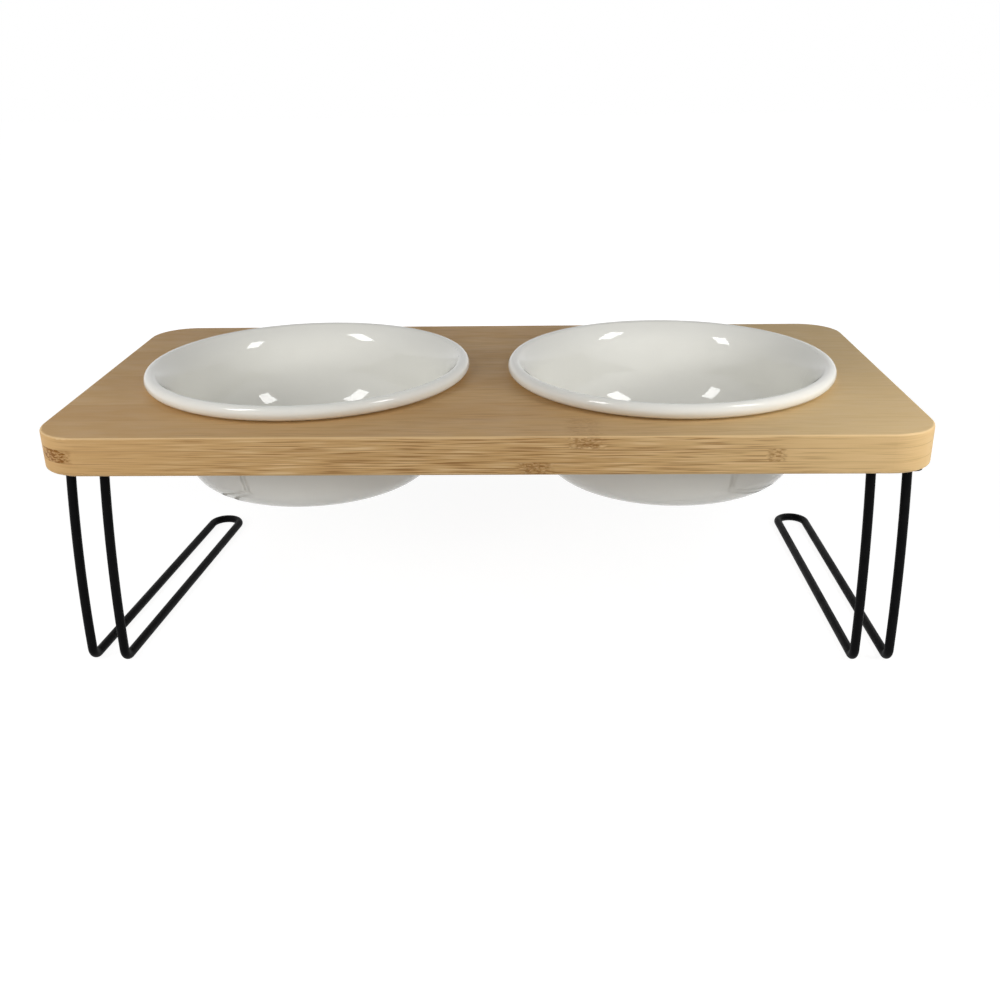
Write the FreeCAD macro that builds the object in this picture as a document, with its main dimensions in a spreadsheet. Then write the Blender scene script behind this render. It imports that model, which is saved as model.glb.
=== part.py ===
import FreeCAD, Part
import os
import re
from math import asin, atan2, cos, hypot, pi, radians, sin, tan

import Sketcher
from FreeCAD import Placement, Rotation, Vector

# Raised feeding stand: a bamboo board on two bent wire legs, with two ceramic bowls
# that hang in round holes by their rims. The floor is z = 0, +X runs along the board
# and -Y is the side with the uprights. Lengths are millimetres, angles degrees.

DRIVING_DIMENSIONS = {
    # bowls, with their depth measured from the board's top face
    "bowl_rim_diameter": 164.6,
    "bowl_rim_overhang": 7.3,
    "bowl_bead_diameter": 6.8,
    "bowl_bead_lift": 0.7,
    "bowl_seat_width": 3,
    "bowl_shoulder_slope": 45,
    "bowl_lip_round": 20,
    "bowl_wall": 4.5,
    "bowl_wall_draft": 13.5,
    "bowl_depth": 52,
    "bowl_floor": 6,
    "bowl_base_round": 14,
    "bowl_inner_round": 36,
    "bowl_foot_width": 7,
    "bowl_foot_recess": 1.5,
    # bamboo board, laid out around the rims of the bowls
    "bowl_gap": 20,
    "bowl_hole_clearance": 0.8,
    "board_end_margin": 25.4,
    "board_side_margin": 17.7,
    "board_thickness": 18,
    "board_corner_radius": 22,
    "board_edge_round": 1.2,
    # bent wire legs, with their height up to the board's underside
    "leg_height": 100,
    "leg_end_margin": 17.5,
    "leg_setback": 10,
    "leg_rear_margin": 22,
    "left_toe_in": 5.6,
    "right_toe_in": 0.8,
    "wire_diameter": 4.4,
    "wire_spacing": 16.2,
    "wire_bend_radius": 5,
    "upright_bow_radius": 480,
    "weld_size": 1.6,
    # plates that the wires are welded to
    "plate_width": 26,
    "plate_length": 46,
    "plate_thickness": 2.5,
    "plate_front_margin": 9,
    "plate_corner_radius": 5,
    # countersunk wood screws
    "screw_diameter": 3.5,
    "screw_head_diameter": 7,
    "screw_length": 14,
    "screw_tip_length": 3,
    "screw_clearance": 0.15,
    "screw_column_spacing": 15,
    "screw_row_spacing": 18,
    "screw_end_margin": 7,
    "screw_recess_width": 3.6,
    "screw_recess_slot": 0.9,
    "screw_recess_depth": 1.2,
    # how far a cut runs past what it cuts
    "cut_overrun": 3,
}

SIDES = {"left": "-", "right": "+"}

doc = FreeCAD.newDocument("dog_bowl_stand")
sheet = doc.addObject("Spreadsheet::Sheet", "sizes")
for row, (alias, size) in enumerate(DRIVING_DIMENSIONS.items(), start=1):
    sheet.set(f"A{row}", str(size))
    sheet.setAlias(f"A{row}", alias)
doc.recompute()


# Bodies, sketches and features whose sizes are bound to the sheet

def bound(expression):
    """The expression with each driving dimension pointed at its cell."""
    def to_cell(word):
        return "sizes." + word[0] if word[0] in DRIVING_DIMENSIONS else word[0]
    return re.sub(r"[a-z_]+", to_cell, expression)


def number(expression):
    """What an expression in the driving dimensions is worth now."""
    return float(sheet.evalExpression(bound(expression)))


def drive(target, **expressions):
    """Bind properties of an object, written with __ for the dots of their paths."""
    for path, expression in expressions.items():
        target.setExpression(path.replace("__", "."), bound(expression))


def new_body(label):
    body = doc.addObject("PartDesign::Body", label)
    body.Label = label
    return body


def origin_plane(body, role):
    return next(item for item in body.Origin.OriginFeatures if item.Role == role)


def attach(item, body, role, across="0", up="0", out="0"):
    """Set a sketch or primitive on one of its body's origin planes, moved as given."""
    item.AttachmentSupport = [(origin_plane(body, role), "")]
    item.MapMode = "FlatFace"
    offset = "AttachmentOffset__Base__"
    drive(item, **{offset + "x": across, offset + "y": up, offset + "z": out})


def new_sketch(body, name, role, **offset):
    sketch = body.newObject("Sketcher::SketchObject", f"{body.Name}_{name}")
    attach(sketch, body, role, **offset)
    return sketch


def new_feature(body, kind, name, **values):
    feature = body.newObject("PartDesign::" + kind, f"{body.Name}_{name}")
    for key, value in values.items():
        setattr(feature, key, value)
    return feature


def round_edges(body, name, radius, chosen):
    """Fillet the edges of the body that the chosen test picks out."""
    doc.recompute()
    edges = [f"Edge{i}" for i, edge in enumerate(body.Tip.Shape.Edges, start=1) if chosen(edge)]
    fillet = new_feature(body, "Fillet", name, Base=(body.Tip, edges))
    drive(fillet, Radius=radius)


def is_upright(edge):
    return isinstance(edge.Curve, Part.Line) and abs(edge.Curve.Direction.z) > abs(edge.Curve.Direction.x)


def is_level_at(edge, height):
    box = edge.BoundBox
    return abs(box.ZMin - height) + abs(box.ZMax - height) < edge.Length * Part.Precision.confusion()


# Sketch geometry and its dimensions

# FreeCAD numbers the points of a line or arc from 1 up, and a sketch's own axes from -1 down
START, END, CENTRE = range(1, 4)
HORIZONTAL_AXIS, VERTICAL_AXIS = range(-1, -3, -1)
ORIGIN = HORIZONTAL_AXIS, START


def constrain(sketch, kind, *references):
    return sketch.addConstraint(Sketcher.Constraint(kind, *references))


def dimension(sketch, name, expression, kind, *references):
    """A named dimension of the sketch, bound to the sheet."""
    size = number(expression)
    if kind == "Angle":
        size = radians(size)
    sketch.renameConstraint(constrain(sketch, kind, *references, size), name)
    drive(sketch, **{"Constraints__" + name: expression})


def place_point(sketch, name, across, up, geometry, point):
    """Fix a point of the sketch by its two distances from the sketch's origin."""
    dimension(sketch, name + "_across", across, "DistanceX", *ORIGIN, geometry, point)
    dimension(sketch, name + "_up", up, "DistanceY", *ORIGIN, geometry, point)


def line(start, end):
    return Part.LineSegment(Vector(*start), Vector(*end)), START, END


def arc(centre, radius, first, last):
    """An arc passed from its first angle to its last. Arcs themselves run anticlockwise."""
    circle = Part.Circle(Vector(*centre), Vector(0, 0, 1), radius)
    if first < last:
        return Part.ArcOfCircle(circle, first, last), START, END
    return Part.ArcOfCircle(circle, last, first), END, START


def on_circle(centre, radius, angle):
    return centre[0] + radius * cos(angle), centre[1] + radius * sin(angle)


def add_chain(sketch, curves, smooth=(), closed=True):
    """Join named lines and arcs end to end, tangent at the joints after the smooth ones."""
    chain = {name: sketch.addGeometry(curve, False) for name, (curve, first, last) in curves.items()}
    names = list(curves)
    nexts = names[1:] + names[:1] if closed else names[1:]
    for here, after in zip(names, nexts):
        kind = "Tangent" if here in smooth else "Coincident"
        last, first = curves[here][-1], curves[after][1]
        constrain(sketch, kind, chain[here], last, chain[after], first)
    return chain


def add_circle(sketch, name, across, up, radius):
    circle = Part.Circle(Vector(number(across), number(up)), Vector(0, 0, 1), number(radius))
    geometry = sketch.addGeometry(circle, False)
    place_point(sketch, name, across, up, geometry, CENTRE)
    dimension(sketch, name + "_radius", radius, "Radius", geometry)


def add_rectangle(sketch, left, right, low, high):
    x0, x1, y0, y1 = (number(size) for size in (left, right, low, high))
    side = add_chain(sketch, {
        "low": line((x0, y0), (x1, y0)),
        "right": line((x1, y0), (x1, y1)),
        "high": line((x1, y1), (x0, y1)),
        "left": line((x0, y1), (x0, y0)),
    })
    for level, plumb in (("low", "left"), ("high", "right")):
        constrain(sketch, "Horizontal", side[level])
        constrain(sketch, "Vertical", side[plumb])
    place_point(sketch, "near", left, low, side["low"], START)
    place_point(sketch, "far", right, high, side["high"], START)


# Places that several pieces share: first how the board is laid out around the bowls, then
# where a leg stands under it

BOWL_PLACE = "((bowl_rim_diameter + bowl_gap) / 2)"
BOWL_NECK = "(bowl_rim_diameter / 2 - bowl_rim_overhang)"
BOARD_END = f"({BOWL_PLACE} + bowl_rim_diameter / 2 + board_end_margin)"
BOARD_REAR = "(bowl_rim_diameter / 2 + board_side_margin)"
LEG_PLACE = f"({BOARD_END} - leg_end_margin)"
LEG_FRONT = f"(leg_setback - {BOARD_REAR})"
LEG_REACH = f"({BOARD_REAR} - leg_rear_margin - {LEG_FRONT})"

# Where the uprights reach their plate, and where the screws go, in a leg's own frame:
# the origin is on the floor midway between the two uprights and +Y runs back

UPRIGHT_RISE = "(leg_height - plate_thickness - wire_bend_radius - wire_diameter / 2)"
UPRIGHT_TOP = f"(upright_bow_radius - sqrt(upright_bow_radius ^ 2 - {UPRIGHT_RISE} ^ 2))"
PLATE_UNDERSIDE = "(leg_height - plate_thickness)"
PLATE_FRONT = f"({UPRIGHT_TOP} - plate_front_margin)"
PLATE_REAR = f"({PLATE_FRONT} + plate_length)"
SCREW_HEAD_RISE = "((screw_head_diameter - screw_diameter) / 2)"
LEFT_SCREW_COLUMN = "(-screw_column_spacing / 2)"
RIGHT_SCREW_COLUMN = "(screw_column_spacing / 2)"
REAR_SCREW_ROW = f"({PLATE_REAR} - screw_end_margin)"
FRONT_SCREW_ROW = f"({REAR_SCREW_ROW} - screw_row_spacing)"
SCREW_PLACES = {
    "front_left": (LEFT_SCREW_COLUMN, FRONT_SCREW_ROW),
    "rear_left": (LEFT_SCREW_COLUMN, REAR_SCREW_ROW),
    "front_right": (RIGHT_SCREW_COLUMN, FRONT_SCREW_ROW),
    "rear_right": (RIGHT_SCREW_COLUMN, REAR_SCREW_ROW),
}


def leg_frame(side):
    """A leg's place across the board and its turn about the vertical, as expressions."""
    return f"({SIDES[side]}{LEG_PLACE})", f"({SIDES[side]}{side}_toe_in)"


def stand_in_leg_frame(body, side):
    across, turn = leg_frame(side)
    body.Placement = Placement(Vector(), Rotation(Vector(0, 0, 1), number(turn)))
    drive(body, Placement__Base__x=across, Placement__Base__y=LEG_FRONT, Placement__Rotation__Angle=turn)


def make_board():
    """Glued bamboo panel with rounded corners, eased edges, bowl holes and pilot holes."""
    body = new_body("bamboo_board")
    drive(body, Placement__Base__z="leg_height")

    outline = new_sketch(body, "outline", "XY_Plane")
    add_rectangle(outline, f"-{BOARD_END}", BOARD_END, f"-{BOARD_REAR}", BOARD_REAR)
    panel = new_feature(body, "Pad", "panel", Profile=outline)
    drive(panel, Length="board_thickness")
    round_edges(body, "corners", "board_corner_radius", is_upright)

    holes = new_sketch(body, "bowl_holes", "XY_Plane")
    for side, sign in SIDES.items():
        add_circle(holes, side, sign + BOWL_PLACE, "0", f"{BOWL_NECK} + bowl_hole_clearance")
    new_feature(body, "Pocket", "bowl_holes_cut", Profile=holes, Type="ThroughAll", Reversed=True)

    faces = (0, number("board_thickness"))
    round_edges(body, "eased_edges", "board_edge_round",
                lambda edge: any(is_level_at(edge, height) for height in faces))

    pilots = new_sketch(body, "pilot_holes", "XY_Plane")
    for side in SIDES:
        across, turn = leg_frame(side)
        for name, (x, y) in SCREW_PLACES.items():
            hole_x = f"{across} + {x} * cos({turn}) - {y} * sin({turn})"
            hole_y = f"{LEG_FRONT} + {x} * sin({turn}) + {y} * cos({turn})"
            add_circle(pilots, f"{side}_leg_{name}", hole_x, hole_y, "screw_diameter / 2 + screw_clearance")
    drilled = new_feature(body, "Pocket", "pilots_cut", Profile=pilots, Reversed=True)
    drive(drilled, Length="screw_length - plate_thickness + screw_clearance")
    return body


def make_bowl(side):
    """Thrown bowl: a drafted wall that flares to a beaded rim, a rounded base and a foot ring."""
    body = new_body(f"{side}_bowl")
    drive(body, Placement__Base__x=SIDES[side] + BOWL_PLACE,
          Placement__Base__z="leg_height + board_thickness")

    # height 0 of the profile is the rim's seat on the board, inside the bead that overhangs it
    draft = radians(number("bowl_wall_draft"))
    slope = radians(number("bowl_shoulder_slope"))
    neck = number(BOWL_NECK)
    bead_across = "(bowl_rim_diameter - bowl_bead_diameter) / 2"
    bead_up = "bowl_bead_lift + bowl_bead_diameter / 2"
    base = number("-bowl_depth")
    recess = number("bowl_foot_recess - bowl_depth")
    floor = number("bowl_floor - bowl_depth")
    seat_end = neck + number("bowl_seat_width")
    bead_round = number("bowl_bead_diameter / 2")
    lip_round = number("bowl_lip_round")
    base_round = number("bowl_base_round")
    inner_round = number("bowl_inner_round")

    def wall_face(height):
        return neck + height * tan(draft)

    def beside_wall(height, distance):
        """The point at this height that lies the distance inside the wall's outer face."""
        return wall_face(height) - distance / cos(draft), height

    base_centre = beside_wall(base + base_round, base_round)
    inner_centre = beside_wall(floor + inner_round, number("bowl_wall") + inner_round)
    bead_centre = number(bead_across), number(bead_up)
    bead_reach = bead_centre[0] - seat_end
    under_slope = atan2(bead_centre[1], bead_reach) - asin(bead_round / hypot(bead_reach, bead_centre[1]))
    lip_level = on_circle(bead_centre, lip_round - bead_round, slope - pi / 2)
    lip_reach = lip_level[0] - beside_wall(lip_level[1], number("bowl_wall") - lip_round)[0]
    lip_centre = on_circle(lip_level, lip_reach / (cos(slope) - sin(slope) * tan(draft)), pi + slope)
    foot_inner = base_centre[0] - number("bowl_foot_width")
    wall_foot = on_circle(base_centre, base_round, -draft)
    under_bead = on_circle(bead_centre, bead_round, under_slope - pi / 2)
    shoulder_top = on_circle(bead_centre, bead_round, pi / 2 + slope)
    shoulder_foot = on_circle(lip_centre, lip_round, pi / 2 + slope)
    lip_foot = on_circle(lip_centre, lip_round, pi - draft)
    inner_wall_foot = on_circle(inner_centre, inner_round, -draft)

    profile = new_sketch(body, "profile", "XZ_Plane")
    curve = add_chain(profile, {
        "recess": line((0, recess), (foot_inner, recess)),
        "foot_inside": line((foot_inner, recess), (foot_inner, base)),
        "foot": line((foot_inner, base), (base_centre[0], base)),
        "base_corner": arc(base_centre, base_round, -pi / 2, -draft),
        "outer_wall": line(wall_foot, (neck, 0)),
        "rim_seat": line((neck, 0), (seat_end, 0)),
        "rim_underside": line((seat_end, 0), under_bead),
        "bead": arc(bead_centre, bead_round, under_slope - pi / 2, pi / 2 + slope),
        "shoulder": line(shoulder_top, shoulder_foot),
        "lip": arc(lip_centre, lip_round, pi / 2 + slope, pi - draft),
        "inner_wall": line(lip_foot, inner_wall_foot),
        "inner_corner": arc(inner_centre, inner_round, -draft, -pi / 2),
        "floor": line((inner_centre[0], floor), (0, floor)),
        "axis": line((0, floor), (0, recess)),
    }, smooth=("foot", "base_corner", "rim_underside", "bead", "shoulder", "lip", "inner_wall",
               "inner_corner"))
    for name in ("recess", "foot", "rim_seat", "floor"):
        constrain(profile, "Horizontal", curve[name])
    for name in ("foot_inside", "axis"):
        constrain(profile, "Vertical", curve[name])
    constrain(profile, "PointOnObject", curve["recess"], START, VERTICAL_AXIS)
    constrain(profile, "Parallel", curve["outer_wall"], curve["inner_wall"])
    dimension(profile, "depth", "-bowl_depth", "DistanceY", *ORIGIN, curve["foot"], START)
    foot_corner = (curve["foot_inside"], END, curve["foot_inside"], START)
    dimension(profile, "foot_recess", "bowl_foot_recess", "DistanceY", *foot_corner)
    foot_ends = (curve["foot"], START, curve["foot"], END)
    dimension(profile, "foot_width", "bowl_foot_width", "DistanceX", *foot_ends)
    dimension(profile, "base_round", "bowl_base_round", "Radius", curve["base_corner"])
    dimension(profile, "wall_slope", "90 - bowl_wall_draft", "Angle", curve["outer_wall"])
    place_point(profile, "neck", BOWL_NECK, "0", curve["rim_seat"], START)
    seat_ends = (curve["rim_seat"], START, curve["rim_seat"], END)
    dimension(profile, "seat_width", "bowl_seat_width", "DistanceX", *seat_ends)
    dimension(profile, "bead_round", "bowl_bead_diameter / 2", "Radius", curve["bead"])
    place_point(profile, "bead", bead_across, bead_up, curve["bead"], CENTRE)
    dimension(profile, "shoulder_slope", "180 + bowl_shoulder_slope", "Angle", curve["shoulder"])
    dimension(profile, "lip_round", "bowl_lip_round", "Radius", curve["lip"])
    dimension(profile, "wall", "bowl_wall", "Distance", curve["outer_wall"], END, curve["inner_wall"])
    dimension(profile, "inner_round", "bowl_inner_round", "Radius", curve["inner_corner"])
    dimension(profile, "floor", "bowl_floor - bowl_depth", "DistanceY", *ORIGIN, curve["floor"], END)
    new_feature(body, "Revolution", "turned", Profile=profile, ReferenceAxis=(profile, ["V_Axis"]))
    return body


def make_leg(side):
    """One wire bent into a hairpin: a loop on the floor and two uprights, bowed a little."""
    body = new_body(f"{side}_leg")
    stand_in_leg_frame(body, side)
    half = number("wire_spacing / 2")
    bend = number("wire_bend_radius")
    bend_height = bend + number("wire_diameter / 2")
    loop_start = number(f"{LEG_REACH} - wire_spacing / 2")

    # one half of the wire: along the floor and a quarter turn to the middle of the loop
    run = new_sketch(body, "floor_run", "XY_Plane", out="wire_diameter / 2")
    wire = add_chain(run, {
        "straight": line((half, bend), (half, loop_start)),
        "loop": arc((0, loop_start), half, 0, pi / 2),
    }, smooth=("straight",), closed=False)
    constrain(run, "Vertical", wire["straight"])
    constrain(run, "PointOnObject", wire["loop"], END, VERTICAL_AXIS)
    place_point(run, "start", "wire_spacing / 2", "wire_bend_radius", wire["straight"], START)
    dimension(run, "loop_radius", "wire_spacing / 2", "Radius", wire["loop"])
    dimension(run, "loop_up", f"{LEG_REACH} - wire_spacing / 2", "DistanceY", *ORIGIN, wire["loop"], CENTRE)

    section = new_sketch(body, "wire_section", "XZ_Plane", out="-wire_bend_radius")
    add_circle(section, "wire", "wire_spacing / 2", "wire_diameter / 2", "wire_diameter / 2")
    new_feature(body, "AdditivePipe", "floor_wire", Profile=section, Spine=(run, []))

    # its upright is tangent to the floor bend and leans back as it rises
    bow = number("upright_bow_radius")
    lean = asin(number(f"({UPRIGHT_RISE} + cut_overrun) / upright_bow_radius"))
    upright = new_sketch(body, "upright", "YZ_Plane", out="wire_spacing / 2")
    wire = add_chain(upright, {
        "bend": arc((bend, bend_height), bend, 3 * pi / 2, pi),
        "bow": arc((bow, bend_height), bow, pi, pi - lean),
    }, smooth=("bend",), closed=False)
    constrain(upright, "Vertical", wire["bend"], CENTRE, wire["bend"], END)
    constrain(upright, "Horizontal", wire["bend"], CENTRE, wire["bend"], START)
    bend_centre_up = "wire_bend_radius + wire_diameter / 2"
    place_point(upright, "bend", "wire_bend_radius", bend_centre_up, wire["bend"], CENTRE)
    dimension(upright, "bend_radius", "wire_bend_radius", "Radius", wire["bend"])
    dimension(upright, "bow_radius", "upright_bow_radius", "Radius", wire["bow"])
    dimension(upright, "top", f"{PLATE_UNDERSIDE} + cut_overrun", "DistanceY", *ORIGIN, wire["bow"], START)
    new_feature(body, "AdditivePipe", "upright_wire", Profile=section, Spine=(upright, []))

    # the wire's end is cut off level, to sit flat under the plate, and welded all round
    end = new_sketch(body, "wire_end", "XY_Plane", out=PLATE_UNDERSIDE)
    add_rectangle(end, "0", "wire_spacing",
                  f"{UPRIGHT_TOP} - wire_spacing", f"{UPRIGHT_TOP} + wire_spacing")
    cut = new_feature(body, "Pocket", "wire_end_cut", Profile=end, Reversed=True)
    drive(cut, Length="2 * cut_overrun")
    weld = new_feature(body, "AdditiveCone", "weld")
    attach(weld, body, "XY_Plane", "wire_spacing / 2", UPRIGHT_TOP, f"{PLATE_UNDERSIDE} - weld_size")
    drive(weld, Radius1="wire_diameter / 2", Radius2="wire_diameter / 2 + weld_size", Height="weld_size")

    doc.recompute()
    body.Tip = new_feature(body, "Mirrored", "other_half", TransformMode="Whole shape",
                           MirrorPlane=(origin_plane(body, "YZ_Plane"), [""]))
    return body


def make_plate(side):
    """Flat steel plate between the wire ends and the board, with countersunk holes."""
    body = new_body(f"{side}_leg_plate")
    stand_in_leg_frame(body, side)
    outline = new_sketch(body, "outline", "XY_Plane", out=PLATE_UNDERSIDE)
    add_rectangle(outline, "-plate_width / 2", "plate_width / 2", PLATE_FRONT, PLATE_REAR)
    blank = new_feature(body, "Pad", "blank", Profile=outline)
    drive(blank, Length="plate_thickness")
    round_edges(body, "corners", "plate_corner_radius", is_upright)

    holes = new_sketch(body, "screw_holes", "XY_Plane", out=PLATE_UNDERSIDE)
    for name, (x, y) in SCREW_PLACES.items():
        add_circle(holes, name, x, y, "screw_diameter / 2 + screw_clearance")
    new_feature(body, "Pocket", "screw_holes_cut", Profile=holes, Type="ThroughAll", Reversed=True)

    doc.recompute()
    rims = [f"Edge{i}" for i, edge in enumerate(body.Tip.Shape.Edges, start=1)
            if edge.isClosed() and is_level_at(edge, number(PLATE_UNDERSIDE))]
    sunk = new_feature(body, "Chamfer", "countersinks", Base=(body.Tip, rims))
    drive(sunk, Size=SCREW_HEAD_RISE)
    return body


def make_screws(side):
    """Four countersunk wood screws, driven up through a plate into the board."""
    body = new_body(f"{side}_leg_screws")
    body.AllowCompound = True
    stand_in_leg_frame(body, side)
    column, row = SCREW_PLACES["front_right"]
    head, shank = number("screw_head_diameter / 2"), number("screw_diameter / 2")
    length, tip = number("screw_length"), number("screw_length - screw_tip_length")

    profile = new_sketch(body, "profile", "XZ_Plane", across=column, up=PLATE_UNDERSIDE,
                         out=f"-{row}")
    edge = add_chain(profile, {
        "head": line((0, 0), (head, 0)),
        "sink": line((head, 0), (shank, head - shank)),
        "shank": line((shank, head - shank), (shank, tip)),
        "tip": line((shank, tip), (0, length)),
        "axis": line((0, length), (0, 0)),
    })
    place_point(profile, "head", "0", "0", edge["head"], START)
    place_point(profile, "sink", "screw_head_diameter / 2", "0", edge["sink"], START)
    place_point(profile, "shank", "screw_diameter / 2", SCREW_HEAD_RISE, edge["shank"], START)
    place_point(profile, "tip", "screw_diameter / 2", "screw_length - screw_tip_length", edge["tip"], START)
    place_point(profile, "point", "0", "screw_length", edge["axis"], START)
    new_feature(body, "Revolution", "turned", Profile=profile, ReferenceAxis=(profile, ["V_Axis"]))

    arms = (("screw_recess_width", "screw_recess_slot"), ("screw_recess_slot", "screw_recess_width"))
    for name, (across, along) in zip(("slot", "cross_slot"), arms):
        slot = new_feature(body, "SubtractiveBox", name)
        attach(slot, body, "XY_Plane", f"{column} - {across} / 2", f"{row} - {along} / 2", PLATE_UNDERSIDE)
        drive(slot, Length=across, Width=along, Height="screw_recess_depth")

    doc.recompute()
    four = new_feature(body, "MultiTransform", "set_of_four", TransformMode="Whole shape")
    rows = new_feature(body, "LinearPattern", "rows", Occurrences=2, Reversed=True,
                       Direction=(origin_plane(body, "XZ_Plane"), [""]))
    drive(rows, Length="screw_row_spacing")
    columns = new_feature(body, "Mirrored", "columns", MirrorPlane=(origin_plane(body, "YZ_Plane"), [""]))
    four.Transformations = [rows, columns]
    body.Tip = four
    return body


pieces = [make_board()]
for leg_side in SIDES:
    pieces += [make(leg_side) for make in (make_bowl, make_leg, make_plate, make_screws)]
doc.recompute()

for item in doc.Objects:
    if "Invalid" in item.State or "Error" in item.State:
        raise RuntimeError(f"{item.Name} failed: {item.State}")
for piece in pieces:
    if piece.Shape.isNull() or not piece.Shape.isValid():
        raise RuntimeError(f"{piece.Label} has no valid shape")

os.makedirs("parts", exist_ok=True)
for piece in pieces:
    piece.Shape.exportStep(f"parts/{piece.Label}.step")
    box = piece.Shape.BoundBox
    print(f"{piece.Label}: {len(piece.Shape.Solids)} solid(s), {piece.Shape.Volume:.0f} mm3,",
          f"z {box.ZMin:.2f} to {box.ZMax:.2f}")
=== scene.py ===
from math import cos, sin

import bpy
from mathutils import Matrix, Vector


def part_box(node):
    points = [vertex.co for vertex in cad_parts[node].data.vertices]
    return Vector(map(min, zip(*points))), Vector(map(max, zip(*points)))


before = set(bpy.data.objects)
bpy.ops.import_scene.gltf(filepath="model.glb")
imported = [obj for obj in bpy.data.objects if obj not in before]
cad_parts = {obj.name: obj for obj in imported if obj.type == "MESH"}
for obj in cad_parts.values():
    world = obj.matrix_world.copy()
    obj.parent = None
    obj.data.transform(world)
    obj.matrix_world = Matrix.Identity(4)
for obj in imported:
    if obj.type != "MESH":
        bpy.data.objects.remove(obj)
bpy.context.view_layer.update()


# Bamboo board
# A panel pressed from three plies of bamboo strips, with its corners rounded and its edges
# eased, sanded and given a satin lacquer. The bowls hang in its two round holes, and the
# plates of the legs are screwed up into it from below.

board_low, board_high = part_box("bamboo_board")
PLIES = 3
PLY = (board_high.z - board_low.z) / PLIES
STRIP_WIDTH = 0.024
STRIP_STAGGER = 0.007

# ply from below, place along the board, reach and strength
FRONT_KNUCKLES = (
    (2, 0.0450, 0.0105, 0.65),
    (1, -0.1885, 0.0095, 2.00),
    (1, 0.1275, 0.0055, 0.80),
    (0, 0.0232, 0.0100, 0.85),
)
# the other strips have a knuckle between these distances from the middle, and more at even spaces
INNER_NEAREST = 0.065
INNER_FARTHEST = 0.105
INNER_REACH = 0.010
KNUCKLE_SPACING = 0.3155
# share of its reach over which a knuckle is at full strength
KNUCKLE_CORE = 0.3

# blotches in a metre along the board, across it and up
BROAD_FIBRES = (5, 330, 330)
FINE_FIBRES = (22, 1900, 1900)
DARK_FIBRES = (40, 1600, 1600)
TONE_DRIFT = (9, 30, 30)
KNUCKLE_SWIRL = (160, 420, 420)
KNUCKLE_CRINKLE = (430, 1000, 1000)
LACQUER_CLOUD = (60, 240, 240)
FIBRE_ENDS = 1100.0

# how far a swirl bends the fibres, how far apart the patterns of two strips are, and the relief
SWIRL_BEND = 0.006
STRIP_SHIFT = 0.37
FIBRE_DEPTH = 0.0002
SPECK_SINK = -0.8

# distances from the middle where the fibres calm down, and places where the painted sheen toward the
# right end begins and ends
BUSY_WITHIN = 0.09
CALM_BEYOND = 0.16
RIGHT_SHEEN_START = 0.02
RIGHT_SHEEN_END = 0.16

# shares of each look
STRIP_TONE = 0.45
RIGHT_SHEEN_SHARE = 0.8
EDGE_WARMTH = 0.25
CALM_SHARE = 0.3
FACE_FIBRES = 0.45
FACE_SPECKS = 0.35
EDGE_SPECKS = 0.75
EDGE_HIGHLIGHT_SHARE = 0.7

# shares of a ply or a strip at which its glue line starts and is full
PLY_LINE = (0.035, 0.005)
STRIP_LINE = (0.014, 0.002)

PALE_BAMBOO = (0.640, 0.425, 0.205, 1)
HONEY_BAMBOO = (0.520, 0.310, 0.125, 1)
RIGHT_SHEEN_BAMBOO = (0.700, 0.520, 0.270, 1)
EDGE_AMBER = (0.740, 0.440, 0.165, 1)
CREAM_FIBRE_AND_HIGHLIGHT = (0.780, 0.560, 0.300, 1)
FIBRE_BROWN = (0.300, 0.150, 0.048, 1)
KNUCKLE_BROWN = (0.235, 0.095, 0.016, 1)
GLUE_BROWN = (0.330, 0.180, 0.070, 1)


def new_finish(name):
    """A finish by name, with its nodes and the shader that they feed."""
    made = bpy.data.materials.new(name)
    made.use_nodes = True
    return made, made.node_tree, made.node_tree.nodes["Principled BSDF"]


def add(tree, kind, feeds, output=0, **settings):
    """Add a node, set or link its inputs, and give one of its outputs."""
    node = tree.nodes.new("ShaderNode" + kind)
    for key, value in settings.items():
        setattr(node, key, value)
    for key, value in feeds.items():
        if isinstance(value, bpy.types.NodeSocket):
            tree.links.new(value, node.inputs[key])
        else:
            node.inputs[key].default_value = value
    return node.outputs[output]


def work_out(tree, operation, *numbers):
    """Do one sum with numbers or with other nodes' outputs."""
    return add(tree, "Math", dict(enumerate(numbers)), operation=operation)


def ease(tree, value, start, end, low=0.0, high=1.0):
    """Go smoothly from low to high while the value goes from start to end."""
    feeds = {"Value": value, "From Min": start, "From Max": end, "To Min": low, "To Max": high}
    return add(tree, "MapRange", feeds, interpolation_type="SMOOTHSTEP")


def tint(tree, amount, under, over):
    """Lay one colour over another by this amount."""
    return add(tree, "Mix", {0: amount, 6: under, 7: over}, output=2, data_type="RGBA")


def mottle(tree, where, stretch, detail):
    """Noise with this many blotches in a metre along each axis."""
    stretched = add(tree, "VectorMath", {0: where, 1: stretch}, operation="MULTIPLY")
    return add(tree, "TexNoise", {"Vector": stretched, "Scale": 1.0, "Detail": detail})


def split(tree, vector):
    """The three parts of a vector."""
    node = tree.nodes.new("ShaderNodeSeparateXYZ")
    tree.links.new(vector, node.inputs[0])
    return node.outputs


def emboss(tree, shader, relief, strength, depth):
    """Give the surface a fine relief of this depth."""
    bump = add(tree, "Bump", {"Height": relief, "Strength": strength, "Distance": depth})
    tree.links.new(bump, shader.inputs["Normal"])


bamboo, tree, shader = new_finish("lacquered_bamboo")
where = add(tree, "TexCoord", {}, output="Object")
along, across, up = split(tree, where)
facing = split(tree, add(tree, "NewGeometry", {}, output="Normal"))
flatness = work_out(tree, "ABSOLUTE", facing[2])
endways = work_out(tree, "ABSOLUTE", facing[0])

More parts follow.
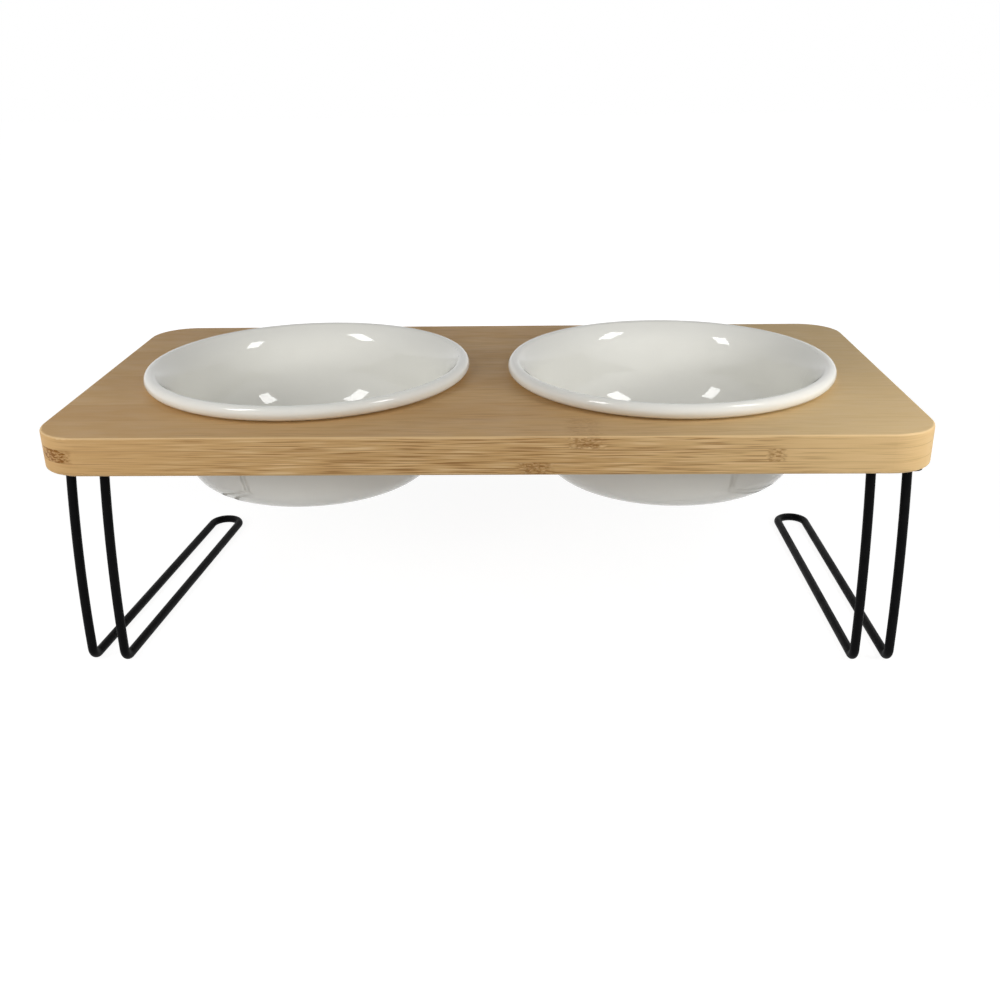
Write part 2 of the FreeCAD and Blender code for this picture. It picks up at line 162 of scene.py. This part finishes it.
# which ply and which strip of it a point lies in, and what is particular to that strip; the top
# face counts as part of the top ply
height = work_out(tree, "DIVIDE", work_out(tree, "SUBTRACT", up, board_low.z), PLY)
ply = work_out(tree, "FLOOR", work_out(tree, "MULTIPLY", height, 0.999))
below_top = work_out(tree, "SUBTRACT", PLIES - 1, ply)
shifted = work_out(tree, "MULTIPLY_ADD", below_top, STRIP_STAGGER, across)
from_front = work_out(tree, "DIVIDE", work_out(tree, "SUBTRACT", shifted, board_low.y), STRIP_WIDTH)
strip = work_out(tree, "FLOOR", from_front)
strip_name = add(tree, "CombineXYZ", {0: ply, 1: strip})
chance = split(tree, add(tree, "TexWhiteNoise", {"Vector": strip_name}, output="Color"))

# each strip has knuckles, the rings where the cane had a node, and the front ones have set places
side = work_out(tree, "SIGN", work_out(tree, "SUBTRACT", chance[0], 0.5))
from_middle = ease(tree, chance[1], 0, 1, INNER_NEAREST, INNER_FARTHEST)
past = work_out(tree, "SUBTRACT", along, work_out(tree, "MULTIPLY", side, from_middle))
wrapped = work_out(tree, "WRAP", past, KNUCKLE_SPACING / 2, -KNUCKLE_SPACING / 2)
from_ring = work_out(tree, "ABSOLUTE", wrapped)
inner_knuckle = ease(tree, from_ring, INNER_REACH, KNUCKLE_CORE * INNER_REACH)
front_knuckle = 0.0
for ply_number, ring_place, reach, strength in FRONT_KNUCKLES:
    from_ring = work_out(tree, "ABSOLUTE", work_out(tree, "SUBTRACT", along, ring_place))
    ring = ease(tree, from_ring, reach, KNUCKLE_CORE * reach, 0, strength)
    here = work_out(tree, "COMPARE", ply, ply_number, 0.5)
    front_knuckle = work_out(tree, "MULTIPLY_ADD", here, ring, front_knuckle)
is_inner = work_out(tree, "GREATER_THAN", strip, 0.5)
swap = work_out(tree, "SUBTRACT", inner_knuckle, front_knuckle)
near_knuckle = work_out(tree, "MULTIPLY_ADD", is_inner, swap, front_knuckle)

# fibres run along the strip, level round the board's edge, and swirl a little at the knuckle
on_edge = ease(tree, flatness, 0.95, 0.30)
to_front = work_out(tree, "SUBTRACT", board_low.y, across)
depth = work_out(tree, "MULTIPLY_ADD", on_edge, to_front, across)
unrolled = add(tree, "CombineXYZ", {0: along, 1: depth, 2: up})
swirl = mottle(tree, where, KNUCKLE_SWIRL, detail=2)
push = work_out(tree, "MULTIPLY", work_out(tree, "SUBTRACT", swirl, 0.5), near_knuckle)
sideways = add(tree, "CombineXYZ", {1: push, 2: push})
bend = add(tree, "VectorMath", {0: sideways, "Scale": SWIRL_BEND}, operation="SCALE")
strip_seed = add(tree, "VectorMath", {0: strip_name, "Scale": STRIP_SHIFT}, operation="SCALE")
in_strip = add(tree, "VectorMath", {0: unrolled, 1: strip_seed}, operation="ADD")
fibre_place = add(tree, "VectorMath", {0: in_strip, 1: bend}, operation="ADD")
broad_fibres = mottle(tree, fibre_place, BROAD_FIBRES, detail=3)
fine_fibres = mottle(tree, fibre_place, FINE_FIBRES, detail=3)
dark_fibres = mottle(tree, fibre_place, DARK_FIBRES, detail=1)
drift = mottle(tree, in_strip, TONE_DRIFT, detail=2)

# the board grows paler toward its right end, a painted sheen standing for light from the right; cut
# edges are warmer, and fibre shows most there in mid-board
strip_tone = work_out(tree, "MULTIPLY", chance[2], STRIP_TONE)
tone = work_out(tree, "MULTIPLY_ADD", drift, 1 - STRIP_TONE, strip_tone)
colour = tint(tree, tone, PALE_BAMBOO, HONEY_BAMBOO)
# painted sheen: the colour turns paler toward the right end, as if lit from that side
right_sheen = ease(tree, along, RIGHT_SHEEN_START, RIGHT_SHEEN_END, 0, RIGHT_SHEEN_SHARE)
colour = tint(tree, right_sheen, colour, RIGHT_SHEEN_BAMBOO)
colour = tint(tree, work_out(tree, "MULTIPLY", on_edge, EDGE_WARMTH), colour, EDGE_AMBER)
square_on = ease(tree, endways, 0.75, 0.25)
off_middle = work_out(tree, "ABSOLUTE", along)
mid_board = ease(tree, off_middle, CALM_BEYOND, BUSY_WITHIN, CALM_SHARE, 1.0)
cut_along = work_out(tree, "MULTIPLY", square_on, mid_board)
fibre_weight = work_out(tree, "MULTIPLY", ease(tree, on_edge, 0, 1, FACE_FIBRES, 1.0), cut_along)
streaks = work_out(tree, "MULTIPLY", ease(tree, broad_fibres, 0.42, 0.74, 0, 0.40), fibre_weight)
colour = tint(tree, streaks, colour, HONEY_BAMBOO)
hairs = work_out(tree, "MULTIPLY", ease(tree, fine_fibres, 0.50, 0.78, 0, 0.40), fibre_weight)
colour = tint(tree, hairs, colour, FIBRE_BROWN)
veins = work_out(tree, "MULTIPLY", ease(tree, dark_fibres, 0.52, 0.68, 0, 0.85), fibre_weight)
colour = tint(tree, veins, colour, FIBRE_BROWN)
edge_weight = work_out(tree, "MULTIPLY", on_edge, cut_along)
threads = work_out(tree, "MULTIPLY", ease(tree, dark_fibres, 0.50, 0.30, 0, 0.80), edge_weight)
colour = tint(tree, threads, colour, CREAM_FIBRE_AND_HIGHLIGHT)

# glue lines between the plies on the edges, and between the strips on the faces
from_ply_line = work_out(tree, "PINGPONG", height, 0.5)
glue = work_out(tree, "MULTIPLY", ease(tree, from_ply_line, *PLY_LINE), on_edge)
glue = work_out(tree, "MULTIPLY", glue, ease(tree, broad_fibres, 0.35, 0.65, 0.1, 0.65))
colour = tint(tree, glue, colour, GLUE_BROWN)
from_strip_line = work_out(tree, "PINGPONG", from_front, 0.5)
joint = work_out(tree, "MULTIPLY", ease(tree, from_strip_line, *STRIP_LINE), flatness)
joint = work_out(tree, "MULTIPLY", joint, ease(tree, drift, 0.35, 0.65, 0.05, 0.40))
colour = tint(tree, joint, colour, GLUE_BROWN)

# the crinkled brown specks of a knuckle, a pale line painted along the eased edge as its highlight, and
# the dark fibre ends where a strip is cut across
crinkle = ease(tree, mottle(tree, unrolled, KNUCKLE_CRINKLE, detail=4), 0.44, 0.60, 0.22, 1.0)
speck_weight = ease(tree, on_edge, 0, 1, FACE_SPECKS, EDGE_SPECKS)
specks = work_out(tree, "MULTIPLY", work_out(tree, "MULTIPLY", crinkle, near_knuckle), speck_weight)
colour = tint(tree, specks, colour, KNUCKLE_BROWN)
# painted highlight: a pale cream line along the eased edges
edge_highlight = work_out(tree, "MULTIPLY", ease(tree, flatness, 0.45, 0.65), ease(tree, flatness, 0.98, 0.90))
colour = tint(tree, work_out(tree, "MULTIPLY", edge_highlight, EDGE_HIGHLIGHT_SHARE), colour, CREAM_FIBRE_AND_HIGHLIGHT)
on_end = ease(tree, endways, 0.70, 1.0)
fibre_ends = add(tree, "TexVoronoi", {"Vector": where, "Scale": FIBRE_ENDS})
dots = work_out(tree, "MULTIPLY", ease(tree, fibre_ends, 0.42, 0.18, 0, 0.35), on_end)
colour = tint(tree, dots, colour, FIBRE_BROWN)
tree.links.new(colour, shader.inputs["Base Color"])

lacquer = mottle(tree, where, LACQUER_CLOUD, detail=3)
tree.links.new(ease(tree, lacquer, 0.3, 0.7, 0.50, 0.64), shader.inputs["Roughness"])
shader.inputs["Specular IOR Level"].default_value = 0.25
raised_fibres = work_out(tree, "MULTIPLY", fine_fibres, fibre_weight)
relief = work_out(tree, "MULTIPLY_ADD", specks, SPECK_SINK, raised_fibres)
emboss(tree, shader, relief, 0.35, FIBRE_DEPTH)


def dress(node_name, finish):
    """Give a CAD node this finish all over."""
    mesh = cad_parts[node_name].data
    mesh.materials.clear()
    mesh.materials.append(finish)


dress("bamboo_board", bamboo)


# Wire legs and their plates
# Each leg is one steel wire bent into a hairpin, welded to a flat plate under the board. Leg
# and plate are powder coated together, satin black with a faint orange peel.

COAT_BLACK = (0.0020, 0.0020, 0.0023, 1)
COAT_GREY = (0.0042, 0.0042, 0.0046, 1)
COAT_CLOUD = (90, 90, 90)
ORANGE_PEEL = (1400, 1400, 1400)
PEEL_DEPTH = 0.0002

black_coat, tree, shader = new_finish("black_powder_coat")
where = add(tree, "TexCoord", {}, output="Object")
cloud = mottle(tree, where, COAT_CLOUD, detail=3)
colour = tint(tree, ease(tree, cloud, 0.3, 0.7), COAT_BLACK, COAT_GREY)
tree.links.new(colour, shader.inputs["Base Color"])
tree.links.new(ease(tree, cloud, 0.3, 0.7, 0.40, 0.55), shader.inputs["Roughness"])
shader.inputs["Specular IOR Level"].default_value = 0.05
emboss(tree, shader, mottle(tree, where, ORANGE_PEEL, detail=2), 0.25, PEEL_DEPTH)

for leg_side in ("left", "right"):
    dress(f"{leg_side}_leg", black_coat)
    dress(f"{leg_side}_leg_plate", black_coat)


# Wood screws
# Countersunk cross-head screws of zinc plated steel, four in each plate, driven up into the board.

ZINC_PALE = (0.66, 0.66, 0.63, 1)
ZINC_DULL = (0.46, 0.46, 0.45, 1)
ZINC_CLOUD = (700, 700, 700)
TURNING_MARKS = (900, 900, 6000)
TURNING_DEPTH = 0.0001

zinc, tree, shader = new_finish("zinc_plated_steel")
where = add(tree, "TexCoord", {}, output="Object")
cloud = mottle(tree, where, ZINC_CLOUD, detail=3)
colour = tint(tree, ease(tree, cloud, 0.35, 0.65), ZINC_PALE, ZINC_DULL)
tree.links.new(colour, shader.inputs["Base Color"])
tree.links.new(ease(tree, cloud, 0.3, 0.7, 0.28, 0.45), shader.inputs["Roughness"])
shader.inputs["Metallic"].default_value = 1.0
emboss(tree, shader, mottle(tree, where, TURNING_MARKS, detail=2), 0.15, TURNING_DEPTH)

for leg_side in ("left", "right"):
    dress(f"{leg_side}_leg_screws", zinc)


# Bowls
# Thrown stoneware with a flared lip and a beaded rim, dipped in a glossy off-white glaze and
# fired standing on a foot ring that is wiped bare. A bowl lies loose in its hole, hung by the rim.

GLAZE_WHITE = (0.872, 0.864, 0.806, 1)
GLAZE_CREAM = (0.858, 0.848, 0.786, 1)
BARE_CLAY = (0.560, 0.460, 0.350, 1)
GLAZE_CLOUD = (22, 22, 22)
GLOSS_CLOUD = (55, 55, 55)
GLAZE_RIPPLE = (70, 70, 70)
CLAY_GRAIN = (1500, 1500, 1500)
GRAIN_SHARE = 0.5
RIPPLE_DEPTH = 0.0004
CLAY_ROUGHNESS = 0.75

# heights between which the glaze gives way to bare clay, and how far that edge wavers
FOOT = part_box("left_bowl")[0].z
GLAZE_ENDS = FOOT + 0.0011
CLAY_BARE = FOOT + 0.0007
WIPE_WAVER = 0.0006

glaze, tree, shader = new_finish("off_white_glaze")
where = add(tree, "TexCoord", {}, output="Object")
cloud = mottle(tree, where, GLAZE_CLOUD, detail=2)
colour = tint(tree, ease(tree, cloud, 0.3, 0.7), GLAZE_WHITE, GLAZE_CREAM)
wiped_edge = work_out(tree, "MULTIPLY_ADD", cloud, WIPE_WAVER, split(tree, where)[2])
bare = ease(tree, wiped_edge, GLAZE_ENDS, CLAY_BARE)
colour = tint(tree, bare, colour, BARE_CLAY)
tree.links.new(colour, shader.inputs["Base Color"])
gloss = ease(tree, mottle(tree, where, GLOSS_CLOUD, detail=2), 0.3, 0.7, 0.02, 0.04)
roughness = work_out(tree, "MULTIPLY_ADD", bare, CLAY_ROUGHNESS, gloss)
tree.links.new(roughness, shader.inputs["Roughness"])
shader.inputs["IOR"].default_value = 1.65
ripple = mottle(tree, where, GLAZE_RIPPLE, detail=1)
clay_grain = work_out(tree, "MULTIPLY", mottle(tree, where, CLAY_GRAIN, detail=3), bare)
emboss(tree, shader, work_out(tree, "MULTIPLY_ADD", clay_grain, GRAIN_SHARE, ripple), 0.02, RIPPLE_DEPTH)

for bowl_side in ("left", "right"):
    dress(f"{bowl_side}_bowl", glaze)


# Floor and surroundings
# A plain pale floor that takes the object's shadow, under an even white surround.

FLOOR_HALF = 4.0
FLOOR_SHADE = (0.68, 0.68, 0.68, 1)
FLOOR_SEEN = (0.22, 0.22, 0.22, 1)
FLOOR_GLOW = 0.92
BACKDROP_GLOW = 1.0
SURROUND_WHITE = (1, 1, 1, 1)
SURROUND_LIGHT = 0.02
# distances from the middle at which the floor's glow begins to rise and is that of the backdrop
GLOW_RISES = 0.2
GLOW_FULL = 0.7

floor_mesh = bpy.data.meshes.new("floor")
corners = [(x * FLOOR_HALF, y * FLOOR_HALF, 0) for x, y in ((-1, -1), (1, -1), (1, 1), (-1, 1))]
floor_mesh.from_pydata(corners, [], [(0, 1, 2, 3)])
floor = bpy.data.objects.new("floor", floor_mesh)
bpy.context.scene.collection.objects.link(floor)


def looked_at(tree):
    """One where a ray comes from the camera, or from it by way of a shiny or clear surface."""
    node = tree.nodes.new("ShaderNodeLightPath")
    rays = [node.outputs[f"Is {kind} Ray"] for kind in ("Camera", "Glossy", "Transmission")]
    return work_out(tree, "MAXIMUM", work_out(tree, "MAXIMUM", rays[0], rays[1]), rays[2])


pale_floor = bpy.data.materials.new("pale_floor")
pale_floor.use_nodes = True
tree = pale_floor.node_tree
tree.nodes.clear()
lit = add(tree, "BsdfDiffuse", {"Color": FLOOR_SHADE})
seen = add(tree, "BsdfDiffuse", {"Color": FLOOR_SEEN})
where = add(tree, "TexCoord", {}, output="Object")
distance = add(tree, "VectorMath", {0: where}, output="Value", operation="LENGTH")
brightness = ease(tree, distance, GLOW_RISES, GLOW_FULL, FLOOR_GLOW, BACKDROP_GLOW)
glow = add(tree, "Emission", {"Strength": brightness})
seen = add(tree, "AddShader", {0: seen, 1: glow})
floor_look = add(tree, "MixShader", {0: looked_at(tree), 1: lit, 2: seen})
tree.links.new(floor_look, tree.nodes.new("ShaderNodeOutputMaterial").inputs["Surface"])
floor_mesh.materials.append(pale_floor)

surround = bpy.data.worlds.new("surround")
surround.use_nodes = True
bpy.context.scene.world = surround
tree = surround.node_tree
backdrop = tree.nodes["Background"]
backdrop.inputs["Color"].default_value = SURROUND_WHITE
brightness = ease(tree, looked_at(tree), 0, 1, SURROUND_LIGHT, BACKDROP_GLOW)
tree.links.new(brightness, backdrop.inputs["Strength"])


# Studio lamps
# Two soft boxes stand high in front of the board, left and right, and show in the glaze. Dim panels
# round the object only even out the light, so shiny surfaces don't show them.

LAMP_TARGET = Vector((0, 0, (board_low.z + board_high.z) / 2))
# place, width, height and watts
SOFT_BOXES = {
    "left_box": ((-0.47, -0.323, 0.678), 0.15, 0.30, 1.01),
    "right_box": ((0.632, -0.309, 0.838), 0.19, 0.33, 1.44),
}
FILL_PANELS = {
    "far_right": ((1.20, -0.80, 0.45), 0.50, 0.30, 2.20),
    "right_near": ((0.33, -0.20, 0.25), 0.14, 0.14, 0.37),
    "right_low": ((0.41, -0.32, 0.23), 0.14, 0.05, 0.32),
    "left_broad": ((-0.45, -0.45, 0.30), 0.30, 0.20, 1.34),
    "left_near": ((-0.33, -0.24, 0.25), 0.14, 0.14, 0.05),
    "left_side": ((-0.70, 0.00, 0.35), 0.30, 0.30, 0.34),
    "rear_low": ((0.00, 0.75, 0.16), 0.60, 0.20, 0.90),
}


def hang_lamp(name, place, width, tall, watts):
    """A soft panel that points at the board."""
    lamp = bpy.data.lights.new(name, "AREA")
    lamp.shape = "RECTANGLE"
    lamp.size = width
    lamp.size_y = tall
    lamp.energy = watts
    hung = bpy.data.objects.new(name, lamp)
    hung.location = place
    hung.rotation_euler = (LAMP_TARGET - Vector(place)).to_track_quat("-Z", "Y").to_euler()
    hung.visible_camera = False
    bpy.context.scene.collection.objects.link(hung)
    return hung


for lamp_name, placing in SOFT_BOXES.items():
    hang_lamp(lamp_name, *placing)
for lamp_name, placing in FILL_PANELS.items():
    hang_lamp(lamp_name, *placing).visible_glossy = False


# Camera
# Stands in front of the board and above it, at the photograph's place and angle.

CAMERA_PLACE = (0.021010, -0.546235, 0.275330)
LENS = 39.5275
NEAR_CLIP = 0.01
# angles in radians
PITCH_DOWN = 0.396389
TURN = -0.029682
ROLL = 0.014497

ahead = Vector((sin(TURN) * cos(PITCH_DOWN), cos(TURN) * cos(PITCH_DOWN), -sin(PITCH_DOWN)))
level = Vector((cos(TURN), -sin(TURN), 0))
below = ahead.cross(level)
right = cos(ROLL) * level + sin(ROLL) * below
down = cos(ROLL) * below - sin(ROLL) * level
aim = Matrix((right, -down, -ahead)).transposed().to_4x4()
camera = bpy.data.objects.new("camera", bpy.data.cameras.new("camera"))
camera.data.lens = LENS
camera.data.clip_start = NEAR_CLIP
camera.matrix_world = Matrix.Translation(CAMERA_PLACE) @ aim
bpy.context.scene.collection.objects.link(camera)
bpy.context.scene.camera = camera
bpy.context.scene.view_settings.view_transform = "Standard"
